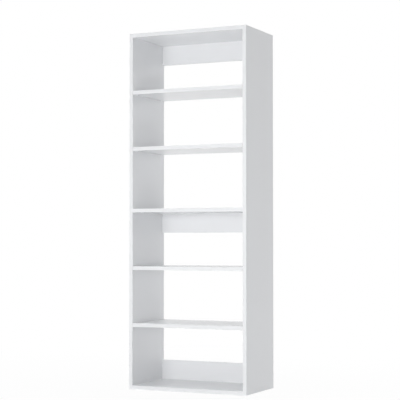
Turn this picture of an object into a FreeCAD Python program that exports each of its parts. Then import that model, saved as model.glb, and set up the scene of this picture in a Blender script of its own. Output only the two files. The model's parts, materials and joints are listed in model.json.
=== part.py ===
# Open-backed closet shelf tower: two side panels, three fixed panels, three back rails, four loose shelves.
# The boards are white melamine-faced chipboard with banded edges. Cam fittings and dowels hold the fixed
# boards between the sides, and the loose shelves lie on pins.
# Millimetres. +X runs to the right, +Y to the back and +Z up. The origin is on the floor, in the middle
# of the footprint, so the front is at -Y.
import FreeCAD, Part
import math
import os
from collections import namedtuple

# Carcass
TOWER_HEIGHT = 1829.0
TOWER_WIDTH = 654.0
TOWER_DEPTH = 356.0
BOARD_THICKNESS = 19.0
RAIL_HEIGHT = 102.0

# Loose shelves: the clear heights under the two shelves of a half, as shares of that half's clear heights
SHELF_END_GAP = 1.0
SHELF_SETBACK = 1.0
LOW_GAP_SHARE = 0.353
MIDDLE_GAP_SHARE = 0.321

# Edge bands: a thick one on front edges, with rounded arrises, and a thin one on the other bare edges
FRONT_BAND = 1.0
FRONT_BAND_ROUNDING = 0.4
THIN_BAND = 0.5

# Clearances: round a fitting in its hole, past its end in the hole, and between a shelf and its pins
FIT_GAP = 0.1
HOLE_RUNOUT = 1.0
REST_GAP = 0.1
CUT_OVERRUN = 2.0

# Cams: their places in the boards, then the cam itself
CAM_END_DISTANCE = 24.0
PANEL_CAM_INSET = 60.0
CAM_BORE_DIAMETER = 15.0
CAM_FLOOR = 0.8
CAM_ECCENTRICITY = 0.4
DRIVE_SLOT_LENGTH = 9.0
DRIVE_SLOT_WIDTH = 1.6
DRIVE_SLOT_DEPTH = 2.2

# Cam bolts
BALL_DIAMETER = 5.8
BALL_OFFSET = 1.9
NECK_DIAMETER = 3.4
SHANK_DIAMETER = 6.4
THREAD_DIAMETER = 5.8
THREAD_LENGTH = 11.0
THREAD_CHAMFER = 1.2

# Cover caps over the middle panel's cams
CAP_DIAMETER = 17.2
CAP_RIM = 0.9
CAP_ROUNDING = 0.5
CAP_PLUG = 1.2
CAP_TO_CAM_GAP = 0.3

# Dowels
DOWEL_DIAMETER = 8.0
DOWEL_LENGTH = 30.0
DOWEL_IN_SIDE = 12.0
DOWEL_CHAMFER = 1.0
PANEL_CAM_TO_DOWEL = 32.0
RAIL_CAM_TO_DOWEL = 32.0

# Shelf pins: a peg in the side, a stop flange and a flat paddle under the shelf
PIN_INSET = 37.0
PEG_DIAMETER = 5.0
PEG_LENGTH = 8.0
PEG_CHAMFER = 0.6
PADDLE_LENGTH = 10.0
PADDLE_WIDTH = 9.0
PADDLE_THICKNESS = 2.0
FLANGE_DIAMETER = 8.4
FLANGE_THICKNESS = 0.8

# Planes of the carcass
FRONT = -TOWER_DEPTH / 2
REAR = TOWER_DEPTH / 2
SIDE_OUTER = TOWER_WIDTH / 2
SIDE_INNER = SIDE_OUTER - BOARD_THICKNESS
HALF_BOARD = BOARD_THICKNESS / 2
TOP_UNDERSIDE = TOWER_HEIGHT - BOARD_THICKNESS
MIDDLE_UNDERSIDE = TOP_UNDERSIDE / 2
RAIL_FRONT = REAR - BOARD_THICKNESS

Vec = FreeCAD.Vector
ORIGIN = Vec(0, 0, 0)
RIGHT = Vec(1, 0, 0)
BACK = Vec(0, 1, 0)
UP = Vec(0, 0, 1)
HANDS = {"left": -1, "right": 1}
ENDS = {"front": -1, "rear": 1}

# Undersides of the level boards and the rails
PANELS = {"top_panel": TOP_UNDERSIDE, "middle_panel": MIDDLE_UNDERSIDE, "bottom_panel": 0}
RAILS = {
    "top_back_rail": TOP_UNDERSIDE - RAIL_HEIGHT,
    "middle_back_rail": MIDDLE_UNDERSIDE - RAIL_HEIGHT,
    "bottom_back_rail": BOARD_THICKNESS,
}
SHELVES = {}
clear_heights = MIDDLE_UNDERSIDE - 3 * BOARD_THICKNESS
for half, floor in (("upper", MIDDLE_UNDERSIDE + BOARD_THICKNESS), ("lower", BOARD_THICKNESS)):
    low = floor + LOW_GAP_SHARE * clear_heights
    SHELVES[f"{half}_shelf_low"] = low
    SHELVES[f"{half}_shelf_high"] = low + BOARD_THICKNESS + MIDDLE_GAP_SHARE * clear_heights

# A fitting's seat is the point where it crosses a side's inner face. The fitting and its holes are drawn
# about that point, with +X running into the side and +Z out of the cam's bore, or up for dowels and pins.
Seat = namedtuple("Seat", "name hand point mouth")


def seats(places, mouth):
    """Seats on both sides for each named place, which is given as its depth and height."""
    for place, (y, z) in places.items():
        for hand, sign in HANDS.items():
            yield Seat(f"{hand}_{place}".rstrip("_"), hand, Vec(sign * SIDE_INNER, y, z), mouth)


def along_depth(inset, height):
    """A front and a rear place, as far in from the tower's front as from its rear."""
    return {end: (sign * (REAR - inset), height) for end, sign in ENDS.items()}


CAM_SEATS = {}
DOWEL_SEATS = {}
PIN_SEATS = {}
for panel, underside in PANELS.items():
    height = underside + HALF_BOARD
    mouth = UP if panel == "top_panel" else -UP
    CAM_SEATS[panel] = list(seats(along_depth(PANEL_CAM_INSET, height), mouth))
    DOWEL_SEATS[panel] = list(seats(along_depth(PANEL_CAM_INSET + PANEL_CAM_TO_DOWEL, height), UP))
for rail, underside in RAILS.items():
    depth = RAIL_FRONT + HALF_BOARD
    height = underside + RAIL_HEIGHT / 2
    dowels = {"low": (depth, height - RAIL_CAM_TO_DOWEL), "high": (depth, height + RAIL_CAM_TO_DOWEL)}
    CAM_SEATS[rail] = list(seats({"": (depth, height)}, BACK))
    DOWEL_SEATS[rail] = list(seats(dowels, UP))
for shelf, underside in SHELVES.items():
    peg_height = underside - REST_GAP - PADDLE_THICKNESS / 2
    PIN_SEATS[shelf] = list(seats(along_depth(PIN_INSET, peg_height), UP))


def placed(shape, seat):
    """A copy of a fitting, or of its hole, moved from the origin to its seat."""
    into_side = RIGHT * HANDS[seat.hand]
    across = seat.mouth.cross(into_side)
    rows = zip(into_side, across, seat.mouth, seat.point)
    at_seat = FreeCAD.Placement(FreeCAD.Matrix(*[cell for row in rows for cell in row], 0, 0, 0, 1))
    copy = shape.copy()
    copy.Placement = at_seat.multiply(shape.Placement)
    return copy


def block(x0, x1, y0, y1, z0, z1):
    """A box between two corners."""
    return Part.makeBox(x1 - x0, y1 - y0, z1 - z0, Vec(x0, y0, z0))


# Cam fittings: a cam in a bore near the board's end turns on the ball head of a bolt screwed into the side
CAM_AXIS = Vec(-CAM_END_DISTANCE, 0, 0)
CAM_RADIUS = CAM_BORE_DIAMETER / 2 - FIT_GAP
ENTRY_RADIUS = BALL_DIAMETER / 2 + FIT_GAP
HOLLOW_HALF_HEIGHT = ENTRY_RADIUS + FIT_GAP
CAM_TOP = HALF_BOARD - CAP_PLUG - CAP_TO_CAM_GAP
CAM_BOTTOM = -HOLLOW_HALF_HEIGHT - CAM_FLOOR
BORE_BOTTOM = CAM_BOTTOM - FIT_GAP


def cam_hollow():
    """The flat, round-rimmed hollow that the ball turns in. It is off centre, so it draws the ball in."""
    flat = BALL_OFFSET + CAM_ECCENTRICITY
    low = Vec(0, 0, -HOLLOW_HALF_HEIGHT)
    high = Vec(0, 0, HOLLOW_HALF_HEIGHT)
    rim_low = low + RIGHT * flat
    rim_high = high + RIGHT * flat
    rim = Part.Arc(rim_low, RIGHT * (flat + HOLLOW_HALF_HEIGHT), rim_high).toShape()
    lines = [Part.makeLine(*ends) for ends in ((low, rim_low), (rim_high, high), (high, low))]
    outline = Part.Wire([lines[0], rim, lines[1], lines[2]])
    hollow = Part.Face(outline).revolve(ORIGIN, UP, 360)
    hollow.translate(Vec(-CAM_ECCENTRICITY, 0, 0))
    return hollow


def make_cam():
    """A die-cast cam, locked: hollow, ball entry, slot for the neck over half a turn, driver cross."""
    reach = CAM_RADIUS + CUT_OVERRUN
    neck = NECK_DIAMETER / 2 + FIT_GAP
    slot_end = DRIVE_SLOT_LENGTH / 2
    slot_side = DRIVE_SLOT_WIDTH / 2
    slot_floor = CAM_TOP - DRIVE_SLOT_DEPTH
    slot_mouth = CAM_TOP + CUT_OVERRUN
    cuts = [
        cam_hollow(),
        Part.makeCylinder(ENTRY_RADIUS, reach, ORIGIN, -RIGHT),
        block(-reach, reach, -reach, neck, -neck, neck),
        block(-slot_end, slot_end, -slot_side, slot_side, slot_floor, slot_mouth),
        block(-slot_side, slot_side, -slot_end, slot_end, slot_floor, slot_mouth),
    ]
    cam = Part.makeCylinder(CAM_RADIUS, CAM_TOP - CAM_BOTTOM, Vec(0, 0, CAM_BOTTOM)).cut(cuts)
    cam.translate(CAM_AXIS)
    return cam


def make_bolt():
    """A cam bolt: ball head and neck in the cam, shank in the board's end and screwed end in the side."""
    ball_centre = CAM_AXIS + RIGHT * BALL_OFFSET
    ball = BALL_DIAMETER / 2
    neck = NECK_DIAMETER / 2
    shank = SHANK_DIAMETER / 2
    thread = THREAD_DIAMETER / 2
    ball_end = ball_centre - RIGHT * ball
    neck_start = ball_centre + Vec(math.sqrt(ball**2 - neck**2), 0, neck)
    shank_start = CAM_AXIS.x + CAM_BORE_DIAMETER / 2 + FIT_GAP
    stem = [
        neck_start,
        Vec(shank_start, 0, neck),
        Vec(shank_start, 0, shank),
        Vec(0, 0, shank),
        Vec(0, 0, thread),
        Vec(THREAD_LENGTH - THREAD_CHAMFER, 0, thread),
        Vec(THREAD_LENGTH, 0, thread - THREAD_CHAMFER),
        Vec(THREAD_LENGTH, 0, 0),
        ball_end,
    ]
    head = Part.Arc(ball_end, ball_centre + UP * ball, neck_start).toShape()
    outline = Part.Wire([head, *Part.makePolygon(stem).Edges])
    return Part.Face(outline).revolve(ORIGIN, RIGHT, 360)


def make_cap():
    """A plastic cover cap: a rounded rim on the board's face and a plug in the mouth of the cam's bore."""
    rim = Part.makeCylinder(CAP_DIAMETER / 2, CAP_RIM, Vec(0, 0, HALF_BOARD))
    crown = [edge for edge in rim.Edges if edge.BoundBox.ZMin > HALF_BOARD + CAP_RIM / 2]
    plug = Part.makeCylinder(CAM_RADIUS, CAP_PLUG, Vec(0, 0, HALF_BOARD - CAP_PLUG))
    cap = rim.makeFillet(CAP_ROUNDING, crown).fuse(plug)
    cap.translate(CAM_AXIS)
    return cap


def make_dowel():
    """A beech dowel with chamfered ends, partly in the side and partly in the board's end."""
    start = Vec(DOWEL_IN_SIDE - DOWEL_LENGTH, 0, 0)
    rod = Part.makeCylinder(DOWEL_DIAMETER / 2, DOWEL_LENGTH, start, RIGHT)
    rims = [edge for edge in rod.Edges if edge.BoundBox.XLength < DOWEL_LENGTH / 2]
    return rod.makeChamfer(DOWEL_CHAMFER, rims)


def make_pin():
    """A steel shelf pin: chamfered peg, flange cut off level with the paddle, and round-nosed paddle."""
    peg = Part.makeCylinder(PEG_DIAMETER / 2, PEG_LENGTH, ORIGIN, RIGHT)
    tip = [edge for edge in peg.Edges if edge.BoundBox.XMin > PEG_LENGTH / 2]
    top = PADDLE_THICKNESS / 2
    reach = FLANGE_DIAMETER / 2 + CUT_OVERRUN
    flange = Part.makeCylinder(FLANGE_DIAMETER / 2, FLANGE_THICKNESS, ORIGIN, -RIGHT)
    flange = flange.cut(block(-reach, reach, -reach, reach, top, top + reach))
    nose_radius = PADDLE_WIDTH / 2
    nose_centre = nose_radius - PADDLE_LENGTH
    paddle = block(nose_centre, 0, -nose_radius, nose_radius, -top, top)
    nose = Part.makeCylinder(nose_radius, PADDLE_THICKNESS, Vec(nose_centre, 0, -top))
    return peg.makeChamfer(PEG_CHAMFER, tip).fuse([flange, paddle, nose]).removeSplitter()


# Holes for the fittings


def hole(diameter, depth, direction):
    """A round hole from the seat into the side or into the board, with its clearances."""
    mouth = direction * -CUT_OVERRUN
    return Part.makeCylinder(diameter / 2 + FIT_GAP, CUT_OVERRUN + depth + HOLE_RUNOUT, mouth, direction)


def side_holes(hand):
    """All holes in one side's inner face: for bolts, dowels and pegs."""
    kinds = (
        (CAM_SEATS, hole(THREAD_DIAMETER, THREAD_LENGTH, RIGHT)),
        (DOWEL_SEATS, hole(DOWEL_DIAMETER, DOWEL_IN_SIDE, RIGHT)),
        (PIN_SEATS, hole(PEG_DIAMETER, PEG_LENGTH, RIGHT)),
    )
    cuts = [(cut, seat) for table, cut in kinds for row in table.values() for seat in row]
    return [placed(cut, seat) for cut, seat in cuts if seat.hand == hand]


def board_holes(board):
    """All holes in a fixed board: the cams' bores, and the bolts' and dowels' holes in its ends."""
    bore_floor = CAM_AXIS + UP * BORE_BOTTOM
    bore = Part.makeCylinder(CAM_BORE_DIAMETER / 2, HALF_BOARD - BORE_BOTTOM + CUT_OVERRUN, bore_floor)
    bolt_hole = hole(SHANK_DIAMETER, CAM_END_DISTANCE, -RIGHT)
    dowel_hole = hole(DOWEL_DIAMETER, DOWEL_LENGTH - DOWEL_IN_SIDE, -RIGHT)
    cuts = [placed(cut, seat) for seat in CAM_SEATS[board] for cut in (bore, bolt_hole)]
    return cuts + [placed(dowel_hole, seat) for seat in DOWEL_SEATS[board]]


# Boards, each with its bands


def front_band(x0, x1, front, z0, z1, run):
    """A thick band on a front edge that runs along X or Z, with its two long outer edges rounded."""
    band = block(x0, x1, front, front + FRONT_BAND, z0, z1)
    outer = [edge for edge in band.Edges if edge.BoundBox.YMax < front + FRONT_BAND / 2]
    arrises = [edge for edge in outer if abs(edge.Curve.Direction.dot(run)) == 1]
    return band.makeFillet(FRONT_BAND_ROUNDING, arrises)


def make_side(hand):
    """A side panel with bands on its front, rear and top edges. It stands on its bare bottom edge."""
    x0, x1 = sorted((HANDS[hand] * SIDE_INNER, HANDS[hand] * SIDE_OUTER))
    core_front = FRONT + FRONT_BAND
    core_rear = REAR - THIN_BAND
    core_top = TOWER_HEIGHT - THIN_BAND
    board = block(x0, x1, core_front, core_rear, 0, core_top).cut(side_holes(hand))
    bands = [
        front_band(x0, x1, FRONT, 0, TOWER_HEIGHT, UP),
        block(x0, x1, core_rear, REAR, 0, TOWER_HEIGHT),
        block(x0, x1, core_front, core_rear, core_top, TOWER_HEIGHT),
    ]
    return board, bands


def make_level_board(underside, end_gap, setback):
    """A panel or shelf with a thick band on its front edge and a thin one on its rear edge."""
    x = SIDE_INNER - end_gap
    front = FRONT + setback
    rear = REAR - setback
    top = underside + BOARD_THICKNESS
    board = block(-x, x, front + FRONT_BAND, rear - THIN_BAND, underside, top)
    bands = [
        front_band(-x, x, front, underside, top, RIGHT),
        block(-x, x, rear - THIN_BAND, rear, underside, top),
    ]
    return board, bands


def make_rail(rail):
    """A back rail on edge, with a thin band on the long edge that stays free."""
    low = RAILS[rail]
    high = low + RAIL_HEIGHT
    if rail == "bottom_back_rail":
        core, tape = (low, high - THIN_BAND), (high - THIN_BAND, high)
    else:
        core, tape = (low + THIN_BAND, high), (low, low + THIN_BAND)
    board, band = (block(-SIDE_INNER, SIDE_INNER, RAIL_FRONT, REAR, *span) for span in (core, tape))
    return board.cut(board_holes(rail)), [band]


# The assembly: the solids of every node
NODES = {}


def add(node, *solids):
    """Puts solids into a node, which is made with the first of them."""
    NODES.setdefault(node, []).extend(solids)


def add_board(node, board, bands):
    """A board and its bands, as two nodes."""
    add(node, board)
    add(f"{node}_edge_bands", *bands)


for hand in HANDS:
    add_board(f"{hand}_side_panel", *make_side(hand))
for panel, underside in PANELS.items():
    board, bands = make_level_board(underside, 0, 0)
    add_board(panel, board.cut(board_holes(panel)), bands)
for rail in RAILS:
    add_board(rail, *make_rail(rail))
for shelf, underside in SHELVES.items():
    add_board(shelf, *make_level_board(underside, SHELF_END_GAP, SHELF_SETBACK))
    add(f"{shelf}_pins", *[placed(make_pin(), seat) for seat in PIN_SEATS[shelf]])
for board in [*PANELS, *RAILS]:
    for seat in CAM_SEATS[board]:
        add(f"{board}_cam_{seat.name}", placed(make_cam(), seat))
    add(f"{board}_cam_bolts", *[placed(make_bolt(), seat) for seat in CAM_SEATS[board]])
    add(f"{board}_dowels", *[placed(make_dowel(), seat) for seat in DOWEL_SEATS[board]])
add("middle_panel_cam_caps", *[placed(make_cap(), seat) for seat in CAM_SEATS["middle_panel"]])

os.makedirs("parts", exist_ok=True)
for node, solids in NODES.items():
    shape = solids[0] if len(solids) == 1 else Part.makeCompound(solids)
    shape.exportStep(os.path.join("parts", f"{node}.step"))
print(f"{len(NODES)} nodes with {sum(len(solids) for solids in NODES.values())} solids")
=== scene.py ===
import json
import math

import bpy
import numpy as np
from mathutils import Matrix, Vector

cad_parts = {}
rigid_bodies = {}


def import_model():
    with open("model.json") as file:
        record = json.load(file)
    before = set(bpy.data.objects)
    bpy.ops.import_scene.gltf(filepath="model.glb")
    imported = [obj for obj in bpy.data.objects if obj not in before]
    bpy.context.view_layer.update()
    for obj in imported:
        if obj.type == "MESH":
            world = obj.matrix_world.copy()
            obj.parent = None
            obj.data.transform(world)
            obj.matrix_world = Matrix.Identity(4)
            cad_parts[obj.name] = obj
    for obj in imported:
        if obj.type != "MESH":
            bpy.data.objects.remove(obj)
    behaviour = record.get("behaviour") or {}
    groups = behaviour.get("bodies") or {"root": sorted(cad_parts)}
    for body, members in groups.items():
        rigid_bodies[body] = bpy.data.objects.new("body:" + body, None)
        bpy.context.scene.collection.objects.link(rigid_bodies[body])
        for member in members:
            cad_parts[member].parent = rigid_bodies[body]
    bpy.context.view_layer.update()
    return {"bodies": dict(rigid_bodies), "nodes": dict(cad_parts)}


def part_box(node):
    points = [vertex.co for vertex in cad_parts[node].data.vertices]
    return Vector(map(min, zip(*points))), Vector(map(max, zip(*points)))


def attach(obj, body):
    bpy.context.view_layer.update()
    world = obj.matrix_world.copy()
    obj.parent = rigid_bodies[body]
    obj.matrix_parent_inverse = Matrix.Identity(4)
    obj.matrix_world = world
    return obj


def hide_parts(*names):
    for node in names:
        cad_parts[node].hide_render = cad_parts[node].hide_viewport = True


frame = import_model()
nodes = frame["nodes"]


# Side panels
# The two uprights of 19 mm chipboard, with white melamine paper pressed hot onto both faces.
# They stand on their sawn bottom edges, and all their holes are drilled into the inner faces.
MELAMINE_WHITE = (0.886, 0.892, 0.904)
MELAMINE_SHADE = (0.876, 0.882, 0.895)
MELAMINE_ROUGHNESS = (0.24, 0.27)
CLOUD_SCALE = 2.6
SPECK_SCALE = 240
SPECK_SHARE = 0.4
PEARL_SCALE = 850
PEARL_HEIGHT = 0.000006
PAPER_THICKNESS = 0.00015
CHIP_PALE = (0.62, 0.47, 0.30)
CHIP_DARK = (0.33, 0.21, 0.115)
CHIP_SCALE = 300
CHIP_FLATNESS = 2.6
CHIP_HEIGHT = 0.0002
CHIP_SHOW_THROUGH_SCALE = 110
CHIP_SHOW_THROUGH_HEIGHT = 0.000003
SAWDUST_SCALE = 1400
SAWDUST_SHARE = 0.3
SAWN_ROUGHNESS_RISE = 0.5
GLUE_GREY = (0.52, 0.50, 0.46)
GLUE_WIDTH = 0.00014
GLUE_SHARE = 0.5
X, Y, Z = range(3)


class Signal:
    """An output in a node tree. Arithmetic on it adds Math nodes, and node() adds any other node."""

    def __init__(self, tree, socket=None):
        self.tree = tree
        self.socket = socket

    def node(self, kind, settings, inputs, output=0):
        """A new node, with its settings made first and then the value or link of each socket."""
        made = self.tree.nodes.new(kind)
        for name, value in settings.items():
            setattr(made, name, value)
        for key, value in inputs.items():
            socket = made.inputs[key]
            if isinstance(value, Signal):
                self.tree.links.new(value.socket, socket)
            elif socket.type == "RGBA":
                socket.default_value = (*value, 1)
            else:
                socket.default_value = value
        return Signal(self.tree, made.outputs[output] if made.outputs else None)

    def other(self, output):
        """Another output of the same node."""
        return Signal(self.tree, self.socket.node.outputs[output])

    def math(self, operation, *values):
        """A Math node's operation on this value and any others."""
        return self.node("ShaderNodeMath", {"operation": operation}, dict(enumerate((self, *values))))

    def mix(self, low, high):
        """The colour low where this value is 0, high where it is 1. A Mix node's inputs 6 and 7 are its two
        colours, and its output 2 is the mixed one."""
        return self.node("ShaderNodeMix", {"data_type": "RGBA"}, {0: self, 6: low, 7: high}, output=2)

    def between(self, low, high):
        """The number low where this value is 0, high where it is 1."""
        return self * (high - low) + low

    def toward(self, other, share):
        """This value with a share of another mixed in."""
        return self * (1 - share) + other * share

    def __add__(self, other):
        return self.math("ADD", other)

    def __sub__(self, other):
        return self.math("SUBTRACT", other)

    def __rsub__(self, other):
        return self * -1 + other

    def __mul__(self, other):
        return self.math("MULTIPLY", other)

    def __abs__(self):
        return self.math("ABSOLUTE")

    __radd__ = __add__
    __rmul__ = __mul__


def new_finish(name):
    """A new material without nodes, and the Object coordinates that its patterns start from."""
    material = bpy.data.materials.new(name)
    material.use_nodes = True
    material.node_tree.nodes.clear()
    start = Signal(material.node_tree)
    return material, start.node("ShaderNodeTexCoord", {}, {}, "Object")


def dress(place, **sockets):
    """Ends a material: the shader's sockets, with _ for spaces in their names, and its output."""
    inputs = {name.replace("_", " "): value for name, value in sockets.items()}
    shader = place.node("ShaderNodeBsdfPrincipled", {}, inputs)
    place.node("ShaderNodeOutputMaterial", {}, {"Surface": shader})


def along(place, axis):
    """One coordinate, in metres."""
    return place.node("ShaderNodeSeparateXYZ", {}, {0: place}, axis)


def stretched(place, factors):
    """The coordinates times a factor on each axis, so that a pattern runs longer where it is small."""
    return place.node("ShaderNodeVectorMath", {"operation": "MULTIPLY"}, {0: place, 1: factors})


def noise(place, scale):
    """Soft noise between 0 and 1, with scale patches to the metre."""
    return place.node("ShaderNodeTexNoise", {}, {"Vector": place, "Scale": scale})


def ramp(value, start, end):
    """0 up to start, 1 from end, and a straight rise between."""
    return value.node("ShaderNodeMapRange", {}, {"Value": value, "From Min": start, "From Max": end})


def bump(height, distance, below=None):
    """Normals of a relief of that height, on top of another relief's."""
    inputs = {"Strength": 1, "Distance": distance, "Height": height}
    if below:
        inputs["Normal"] = below
    return height.node("ShaderNodeBump", {}, inputs)


def board_finish(board, thin, banded):
    """Melamine on the two faces across the thin axis, sawn chipboard wherever the board is open between
    them, and a glue line where an edge is banded. The depth under the nearer face is half the thickness
    less the distance from the mid-plane. It is past the paper's thickness only on sawn or drilled walls."""
    material, place = new_finish(f"{board}_melamine")
    low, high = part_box(board)
    middle = (low[thin] + high[thin]) / 2
    half = (high[thin] - low[thin]) / 2
    depth = half - abs(along(place, thin) - middle)
    sawn = depth.math("GREATER_THAN", PAPER_THICKNESS)

    specks = noise(place, SPECK_SCALE)
    paper = noise(place, CLOUD_SCALE).toward(specks, SPECK_SHARE).mix(MELAMINE_SHADE, MELAMINE_WHITE)
    for axis, end in banded:
        edge = low[axis] if end < 0 else high[axis]
        glue = 1 - ramp(abs(along(place, axis) - edge), 0, GLUE_WIDTH)
        paper = (glue * GLUE_SHARE).mix(paper, GLUE_GREY)

    flat_chips = [1.0, 1.0, 1.0]
    flat_chips[thin] = CHIP_FLATNESS
    cells = place.node(
        "ShaderNodeTexVoronoi", {}, {"Vector": stretched(place, flat_chips), "Scale": CHIP_SCALE}, "Color"
    )
    chips = cells.node("ShaderNodeSeparateColor", {}, {0: cells})
    wood = chips.toward(noise(place, SAWDUST_SCALE), SAWDUST_SHARE).mix(CHIP_DARK, CHIP_PALE)

    show_through = bump(noise(place, CHIP_SHOW_THROUGH_SCALE), CHIP_SHOW_THROUGH_HEIGHT)
    pearl = bump(noise(place, PEARL_SCALE), PEARL_HEIGHT, show_through)
    dress(
        place,
        Base_Color=sawn.mix(paper, wood),
        Roughness=specks.between(*MELAMINE_ROUGHNESS) + SAWN_ROUGHNESS_RISE * sawn,
        Normal=bump(chips * sawn, CHIP_HEIGHT, pearl),
    )
    return material


for hand in ("left", "right"):
    side = f"{hand}_side_panel"
    nodes[side].material_slots[0].material = board_finish(side, X, [(Y, -1), (Y, 1), (Z, 1)])


# Fixed panels
# The top, middle and bottom boards of the same melamine-faced chipboard, sawn to fit between the sides.
# Cams and dowels in their ends hold them, so the sides and panels make the standing frame.
for panel in ("top_panel", "middle_panel", "bottom_panel"):
    nodes[panel].material_slots[0].material = board_finish(panel, Z, [(Y, -1), (Y, 1)])


# Back rails
# Three narrow strips of the same board, set on edge between the sides, flush with the rear.
# They keep the open-backed frame square, and a wall screw can go through any of them.
for rail, free_end in (("top_back_rail", -1), ("middle_back_rail", -1), ("bottom_back_rail", 1)):
    nodes[rail].material_slots[0].material = board_finish(rail, Y, [(Z, free_end)])


# Edge bands
# Strips of white plastic glued over the sawn edges, trimmed flush and scraped round on the front.
# The scraper leaves faint ripples across the strip and fine lines along it.
BAND_WHITE = (0.890, 0.896, 0.906)
BAND_SHADE = (0.878, 0.884, 0.895)
BAND_ROUGHNESS = (0.34, 0.46)
BAND_CLOUD_SCALE = 5
RIPPLE_PITCH = 0.0046
RIPPLE_HEIGHT = 0.000004
RIPPLE_FADE_SCALE = 9
SCRAPE_SCALE = 2600
SCRAPE_STRETCH = 0.025
SCRAPE_HEIGHT = 0.000006
SCRAPE_SHARE = 0.4


def band_finish(name, run):
    """White plastic. The ripple is a sine along the run, faded in and out by slow noise, and the scraper's
    lines are noise drawn out forty times along the run."""
    material, place = new_finish(name)
    drawn_out = [1.0, 1.0, 1.0]
    drawn_out[run] = SCRAPE_STRETCH
    lines = noise(stretched(place, drawn_out), SCRAPE_SCALE)
    wave = (along(place, run) * (2 * math.pi / RIPPLE_PITCH)).math("SINE")
    ripple = wave * noise(place, RIPPLE_FADE_SCALE)
    dress(
        place,
        Base_Color=noise(place, BAND_CLOUD_SCALE).toward(lines, SCRAPE_SHARE).mix(BAND_SHADE, BAND_WHITE),
        Roughness=lines.between(*BAND_ROUGHNESS),
        Normal=bump(ripple, RIPPLE_HEIGHT, bump(lines, SCRAPE_HEIGHT)),
    )
    return material


upright_band = band_finish("upright_edge_band", Z)
level_band = band_finish("level_edge_band", X)
for node, piece in nodes.items():
    if node.endswith("_edge_bands"):
        piece.material_slots[0].material = upright_band if "side" in node else level_band


# Dowels
# Fluted pegs of beech, glued into the ends of the fixed boards and pushed into the sides. The flutes let
# air and spare glue out, and the pegs keep each board in line while its cams are turned.
BEECH_PALE = (0.66, 0.47, 0.29)
BEECH_DARK = (0.52, 0.34, 0.19)
BEECH_ROUGHNESS = (0.60, 0.75)
FIBRE_SCALE = 1900
FIBRE_STRETCH = (0.06, 1, 1)
FIBRE_HEIGHT = 0.00006
FLECK_SCALE = 1500
FLECK_STRETCH = (0.3, 1, 1)
FLECK_EDGES = (0.62, 0.72)
FLECK_SHARE = 0.3
DOWEL_RADIUS = 0.004
DOWEL_LENGTH = 0.030
DOWEL_CHAMFER = 0.001
DOWEL_FLUTES = 20
FLUTE_DEPTH = 0.00025
FLUTE_STEPS = 8
CREASE_ANGLE = math.radians(40)


def places_along(low, high, low_margin, high_margin):
    """The axis of a fitting that fills a span, or the axes of the two fittings at its ends."""
    first = low + low_margin
    last = high - high_margin
    return [first] if last - first < low_margin else [first, last]


def seats_of(node, beside, below, above):
    """The outer ends of a node's fittings, as rows of hand, x, y and z. They come from the node's box and
    the room that one fitting takes beside, below and above its axis."""
    low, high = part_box(node)
    rows = places_along(low[Y], high[Y], beside, beside)
    levels = places_along(low[Z], high[Z], below, above)
    return np.array([(hand, hand * high[X], y, z) for hand in (-1, 1) for y in rows for z in levels])


def round_rings(radii):
    """The outlines of round rings: the radius times the cosine across, and times the sine upward."""
    turn = np.linspace(0, 2 * np.pi, radii.shape[1], endpoint=False)
    return radii * np.cos(turn), radii * np.sin(turn)


def lay_fittings(node, slot, material, seats, distances, across, upward):
    """Equal fittings that lie along X, in place of a node. Ring i is at distances[i] from the seat, and its
    outline over a full turn is across[i] in Y and upward[i] in Z. On the left a fitting is turned half
    round the upright axis. The first and last rings are closed flat."""
    hand, x, y, z = seats.T[:, :, None, None]
    places = np.broadcast_arrays(x - hand * distances[:, None], y + hand * across, z + upward)
    points = np.stack(places, axis=-1).reshape(-1, 3)
    rings, steps = across.shape
    index = np.arange(rings * steps).reshape(rings, steps)
    after = np.roll(index, -1, axis=1)
    walls = np.stack([index[:-1], index[1:], after[1:], after[:-1]], axis=-1).reshape(-1, 4)
    ends = np.stack([index[0], index[-1, ::-1]])
    first = index.size * np.arange(len(seats))[:, None, None]
    faces = [*(walls + first).reshape(-1, 4).tolist(), *(ends + first).reshape(-1, steps).tolist()]
    mesh = bpy.data.meshes.new(f"{node}_detail")
    mesh.from_pydata(points.tolist(), [], faces)
    mesh.shade_smooth()
    mesh.set_sharp_from_angle(angle=CREASE_ANGLE)
    mesh.materials.append(material)
    piece = bpy.data.objects.new(mesh.name, mesh)
    bpy.context.scene.collection.objects.link(piece)
    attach(piece, "carcass")
    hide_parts(node)


beech, place = new_finish("beech")
fibres = noise(stretched(place, FIBRE_STRETCH), FIBRE_SCALE)
flecks = ramp(noise(stretched(place, FLECK_STRETCH), FLECK_SCALE), *FLECK_EDGES)
dress(
    place,
    Base_Color=fibres.toward(flecks, FLECK_SHARE).mix(BEECH_PALE, BEECH_DARK),
    Roughness=fibres.between(*BEECH_ROUGHNESS),
    Normal=bump(fibres, FIBRE_HEIGHT),
)
dowel_distances = np.array([0, DOWEL_CHAMFER, DOWEL_LENGTH - DOWEL_CHAMFER, DOWEL_LENGTH])
dowel_radii = DOWEL_RADIUS - np.array([DOWEL_CHAMFER, 0, 0, DOWEL_CHAMFER])
flute_turn = np.arange(DOWEL_FLUTES * FLUTE_STEPS) * np.pi / FLUTE_STEPS
flutes = FLUTE_DEPTH * np.abs(np.sin(flute_turn))
dowel_rings = round_rings(dowel_radii[:, None] - flutes)
for node in [name for name in nodes if name.endswith("_dowels")]:
    seats = seats_of(node, DOWEL_RADIUS, DOWEL_RADIUS, DOWEL_RADIUS)
    lay_fittings(node, "beech", beech, seats, dowel_distances, *dowel_rings)


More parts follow.
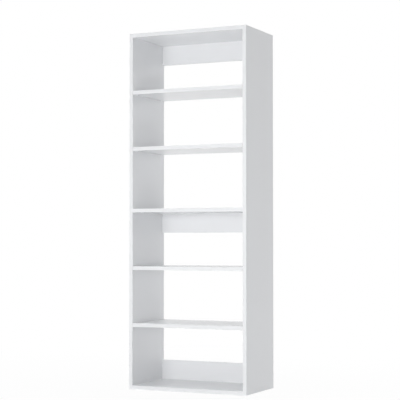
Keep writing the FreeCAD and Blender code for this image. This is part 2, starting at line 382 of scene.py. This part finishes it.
# Cam bolts
# Turned steel bolts, plated with zinc. The coarse thread is screwed into a side, the shank fills the hole
# in the board's end, and the ball head stands in the cam, which pulls on it.
ZINC_PLATE = (0.62, 0.63, 0.66)
ZINC_PLATE_WARM = (0.66, 0.64, 0.58)
ZINC_PLATE_ROUGHNESS = (0.28, 0.42)
PLATE_CLOUD_SCALE = 160
LATHE_SCALE = 5200
LATHE_STRETCH = (1, 0.1, 0.1)
LATHE_HEIGHT = 0.00001
THREAD_RADIUS = 0.0029
THREAD_DEPTH = 0.0007
THREAD_PITCH = 0.0018
THREAD_LENGTH = 0.011
THREAD_CHAMFER = 0.0012
THREAD_RINGS = 56
SHANK_RADIUS = 0.0032
SHANK_END = 0.0274
NECK_RADIUS = 0.0017
BALL_RADIUS = 0.0029
BALL_CENTRE = 0.0331
BALL_RINGS = 14
BALL_END_SHARE = 0.98
BOLT_STEPS = 32


def grainy_finish(
    name, colours, cloud_scale, grain_scale, grain_height, roughness, metallic, stretch=(1, 1, 1)
):
    """Two colours that cloud into each other, under a fine grain that sets the roughness and a relief."""
    material, place = new_finish(name)
    grain = noise(stretched(place, stretch), grain_scale)
    dress(
        place,
        Base_Color=noise(place, cloud_scale).mix(*colours),
        Metallic=metallic,
        Roughness=grain.between(*roughness),
        Normal=bump(grain, grain_height),
    )
    return material


def threaded(distances):
    """A thread's radii: the depth of a triangle wave that winds once round in each pitch, less near the
    shank, and cut to the chamfer at the tip."""
    turns = np.arange(BOLT_STEPS) / BOLT_STEPS
    wave = np.abs((distances[:, None] / THREAD_PITCH + turns) % 1 * 2 - 1)
    fade = np.clip((THREAD_LENGTH - distances) / THREAD_PITCH, 0, 1)[:, None]
    tip = THREAD_RADIUS - THREAD_CHAMFER + distances[:, None]
    return np.minimum(THREAD_RADIUS - THREAD_DEPTH * wave * fade, tip)


zinc_plate = grainy_finish(
    "zinc_plated_steel",
    (ZINC_PLATE, ZINC_PLATE_WARM),
    PLATE_CLOUD_SCALE,
    LATHE_SCALE,
    LATHE_HEIGHT,
    ZINC_PLATE_ROUGHNESS,
    metallic=1,
    stretch=LATHE_STRETCH,
)
thread_run = np.linspace(0, THREAD_LENGTH, THREAD_RINGS)
ball_turn = np.linspace(math.asin(NECK_RADIUS / BALL_RADIUS), BALL_END_SHARE * math.pi, BALL_RINGS)
ball_run = BALL_CENTRE - BALL_RADIUS * np.cos(ball_turn)
smooth_radii = np.array([SHANK_RADIUS, SHANK_RADIUS, NECK_RADIUS, *(BALL_RADIUS * np.sin(ball_turn))])
bolt_distances = np.array([*thread_run, THREAD_LENGTH, SHANK_END, SHANK_END, *ball_run])
bolt_rings = round_rings(np.concatenate([threaded(thread_run), np.tile(smooth_radii[:, None], BOLT_STEPS)]))
for node in [name for name in nodes if name.endswith("_cam_bolts")]:
    seats = seats_of(node, SHANK_RADIUS, SHANK_RADIUS, SHANK_RADIUS)
    lay_fittings(node, "zinc_plated_steel", zinc_plate, seats, bolt_distances, *bolt_rings)


# Cams
# Die-cast zinc cams, dropped into bores near the boards' ends and turned half round with a screwdriver
# to draw the bolt's head in. Their skin is as it left the mould: dull, grainy and a little blotched.
CAST_ZINC = (0.56, 0.565, 0.58)
CAST_ZINC_DULL = (0.43, 0.435, 0.45)
CAST_ROUGHNESS = (0.34, 0.56)
CAST_BLOTCH_SCALE = 330
CAST_SKIN_SCALE = 2400
CAST_SKIN_HEIGHT = 0.00005
cast_zinc = grainy_finish(
    "zinc_casting",
    (CAST_ZINC, CAST_ZINC_DULL),
    CAST_BLOTCH_SCALE,
    CAST_SKIN_SCALE,
    CAST_SKIN_HEIGHT,
    CAST_ROUGHNESS,
    metallic=1,
)
for body in frame["bodies"]:
    if "_cam_" in body:
        nodes[body].material_slots[0].material = cast_zinc


# Cover caps
# Moulded white plastic caps with a fine spark-eroded grain. They are pressed into the middle panel's bores
# from below, where the cams would show.
CAP_WHITE = (0.868, 0.874, 0.886)
CAP_SHADE = (0.852, 0.858, 0.871)
CAP_ROUGHNESS = (0.36, 0.48)
CAP_CLOUD_SCALE = 120
CAP_GRAIN_SCALE = 3200
CAP_GRAIN_HEIGHT = 0.00001
nodes["middle_panel_cam_caps"].material_slots[0].material = grainy_finish(
    "cap_plastic",
    (CAP_SHADE, CAP_WHITE),
    CAP_CLOUD_SCALE,
    CAP_GRAIN_SCALE,
    CAP_GRAIN_HEIGHT,
    CAP_ROUGHNESS,
    metallic=0,
)


# Shelf pins
# Steel pins with a baked white coat. The peg is pushed into the side up to its flange, and the shelf lies
# on the flat paddle.
COAT_WHITE = (0.872, 0.878, 0.890)
COAT_SHADE = (0.856, 0.862, 0.875)
COAT_ROUGHNESS = (0.30, 0.36)
COAT_CLOUD_SCALE = 210
COAT_PEEL_SCALE = 900
COAT_PEEL_HEIGHT = 0.00001
PEG_RADIUS = 0.0025
PEG_LENGTH = 0.008
PEG_CHAMFER = 0.0006
PEG_STEP = 0.0003
FLANGE_RADIUS = 0.0042
FLANGE_THICKNESS = 0.0008
PADDLE_HALF_WIDTH = 0.0045
PADDLE_HALF_THICKNESS = 0.001
PADDLE_LENGTH = 0.010
PADDLE_BLUNTNESS = 0.3
ROOT_LENGTH = 0.0006
ROOT_SHARE = 0.9
NOSE_RINGS = 10
NOSE_END_SHARE = 0.97
PIN_STEPS = 48


def blunt(wave):
    """A sine or cosine raised to a small power, so that a round outline becomes a slab with soft edges."""
    return np.sign(wave) * np.abs(wave) ** PADDLE_BLUNTNESS


coat = grainy_finish(
    "white_coated_steel",
    (COAT_SHADE, COAT_WHITE),
    COAT_CLOUD_SCALE,
    COAT_PEEL_SCALE,
    COAT_PEEL_HEIGHT,
    COAT_ROUGHNESS,
    metallic=0,
)

# The peg and the flange are round, and cut off level with the paddle where the shelf passes over them
wall = PEG_LENGTH + FLANGE_THICKNESS
round_distances = [0, PEG_CHAMFER, PEG_LENGTH - PEG_STEP, PEG_LENGTH, PEG_LENGTH, wall]
round_radii = [PEG_RADIUS - PEG_CHAMFER, PEG_RADIUS, PEG_RADIUS, PEG_RADIUS, FLANGE_RADIUS, FLANGE_RADIUS]
root_height = ROOT_SHARE * PADDLE_HALF_THICKNESS
crests = [PEG_RADIUS, PEG_RADIUS, PEG_RADIUS, root_height, PADDLE_HALF_THICKNESS, PADDLE_HALF_THICKNESS]
round_across, round_upward = round_rings(np.tile(np.array(round_radii)[:, None], PIN_STEPS))
round_upward = np.minimum(round_upward, np.array(crests)[:, None])

# The paddle is a slab, a little narrower at its root, with a half-round nose
turn = np.linspace(0, 2 * np.pi, PIN_STEPS, endpoint=False)
nose_turn = np.linspace(0, NOSE_END_SHARE * np.pi / 2, NOSE_RINGS)
nose_start = PEG_LENGTH + PADDLE_LENGTH - PADDLE_HALF_WIDTH
paddle_distances = [wall, wall + ROOT_LENGTH, *(nose_start + PADDLE_HALF_WIDTH * np.sin(nose_turn))]
paddle_widths = PADDLE_HALF_WIDTH * np.array([ROOT_SHARE, 1, *np.cos(nose_turn)])
paddle_heights = PADDLE_HALF_THICKNESS * np.array([ROOT_SHARE, 1, *np.ones(NOSE_RINGS)])
paddle_across = paddle_widths[:, None] * blunt(np.cos(turn))
paddle_upward = paddle_heights[:, None] * blunt(np.sin(turn))

pin_distances = np.array([*round_distances, *paddle_distances])
pin_across = np.concatenate([round_across, paddle_across])
pin_upward = np.concatenate([round_upward, paddle_upward])
for node in [name for name in nodes if name.endswith("_pins")]:
    seats = seats_of(node, PADDLE_HALF_WIDTH, FLANGE_RADIUS, PEG_RADIUS)
    lay_fittings(node, "white_coated_steel", coat, seats, pin_distances, pin_across, pin_upward)


# Loose shelves
# Four shelves of the same board, banded front and rear and sawn at the ends. They lie free on the pins
# and pull straight out.
for shelf in ("upper_shelf_low", "upper_shelf_high", "lower_shelf_low", "lower_shelf_high"):
    nodes[shelf].material_slots[0].material = board_finish(shelf, Z, [(Y, -1), (Y, 1)])


# Floor and air
# A pale matt floor under white air. It takes the tower's soft shadow, and away from the tower it fades
# into the white.
FLOOR_REACH = 8.0
FLOOR_DROP = 0.0004
FLOOR_WHITE = (0.94, 0.945, 0.95)
FLOOR_GLOW = 0.95
FADE_START = 0.5
FADE_END = 2.5
AIR_TINT = (0.955, 0.975, 1.0)
AIR_STRENGTH = 0.213
WHITE = (1, 1, 1)


def seen_directly(start):
    """1 for the rays that show the background: from the camera, and by way of gloss or glass."""
    ray = start.node("ShaderNodeLightPath", {}, {}, "Is Camera Ray")
    return ray.math("MAXIMUM", ray.other("Is Glossy Ray")).math("MAXIMUM", ray.other("Is Transmission Ray"))


# A level square: x = reach u and y = reach v, with u and v from -1 to 1
u, v = np.meshgrid((-1, 1), (-1, 1))
floor_points = np.stack([FLOOR_REACH * u, FLOOR_REACH * v, 0 * u - FLOOR_DROP], axis=-1).reshape(-1, 3)
floor_mesh = bpy.data.meshes.new("floor")
floor_mesh.from_pydata(floor_points.tolist(), [], [(0, 1, 3, 2)])
floor = bpy.data.objects.new("floor", floor_mesh)
bpy.context.scene.collection.objects.link(floor)
floor_white, place = new_finish("floor_white")
matt = place.node("ShaderNodeBsdfDiffuse", {}, {"Color": FLOOR_WHITE})
glow = place.node("ShaderNodeEmission", {}, {"Color": WHITE, "Strength": 1})
from_tower = place.node("ShaderNodeVectorMath", {"operation": "LENGTH"}, {0: place}, "Value")
glow_share = ramp(from_tower, FADE_START, FADE_END).between(FLOOR_GLOW, 1)
shown = place.node("ShaderNodeMixShader", {}, {0: seen_directly(place) * glow_share, 1: matt, 2: glow})
place.node("ShaderNodeOutputMaterial", {}, {"Surface": shown})
floor_mesh.materials.append(floor_white)

air = bpy.data.worlds.new("air")
air.use_nodes = True
air.node_tree.nodes.clear()
start = Signal(air.node_tree)
light = start.node("ShaderNodeBackground", {}, {"Color": AIR_TINT, "Strength": AIR_STRENGTH})
backdrop = start.node("ShaderNodeBackground", {}, {"Color": WHITE, "Strength": 1})
sky = start.node("ShaderNodeMixShader", {}, {0: seen_directly(start), 1: light, 2: backdrop})
start.node("ShaderNodeOutputWorld", {}, {"Surface": sky})
bpy.context.scene.world = air


# Lamps
# Large soft boxes round the tower, which light it without being mirrored in the boards. The floor box hangs
# behind it, faces down and lights it by way of the floor. Strength is a box's own brightness: 1 is white.
TOWER_MIDDLE = (0, 0, 0.95)
FLOOR_BEHIND = (0, 3.2, 0)


def soft_box(name, place, width, height, strength, aim=TOWER_MIDDLE):
    """An area lamp turned to the point aim. Its power is its brightness times pi times its area."""
    lamp = bpy.data.lights.new(name, "AREA")
    lamp.shape = "RECTANGLE"
    lamp.size = width
    lamp.size_y = height
    lamp.energy = strength * math.pi * width * height
    holder = bpy.data.objects.new(name, lamp)
    holder.location = place
    holder.rotation_euler = (Vector(aim) - Vector(place)).to_track_quat("-Z", "Y").to_euler()
    holder.visible_camera = False
    holder.visible_glossy = False
    bpy.context.scene.collection.objects.link(holder)


soft_box("front_box", place=(0.3, -4.2, 0.75), width=3, height=1.2, strength=7.75)
soft_box("right_box", place=(9, 0, 1.2), width=5, height=4, strength=1)
soft_box("left_box", place=(-9, 0, 1.2), width=5, height=4, strength=1.5)
soft_box("rear_right_box", place=(6.4, 6.4, 1.2), width=5, height=4, strength=1.35)
soft_box("top_box", place=(0, 0, 7), width=6, height=6, strength=1.7)
soft_box("floor_box", place=(0, 3.2, 2.2), width=3, height=2, strength=2.75, aim=FLOOR_BEHIND)


# Camera
# It stands in front of the tower and to its right, a little under half its height, and looks slightly up.
# The focal length is given in the picture's own pixels.
CAMERA_PLACE = (2.7297, -5.8021, 0.7560)
CAMERA_TURN = 0.44095
CAMERA_TILT = 0.03339
FOCAL_PIXELS = 1240.43
IMAGE_PIXELS = 400

camera = bpy.data.cameras.new("camera")
camera.lens = camera.sensor_width * FOCAL_PIXELS / IMAGE_PIXELS
tripod = bpy.data.objects.new("camera", camera)
tripod.location = CAMERA_PLACE
tripod.rotation_euler = (math.pi / 2 + CAMERA_TILT, 0, CAMERA_TURN)
bpy.context.scene.collection.objects.link(tripod)
bpy.context.scene.camera = tripod
bpy.context.scene.view_settings.view_transform = "Standard"
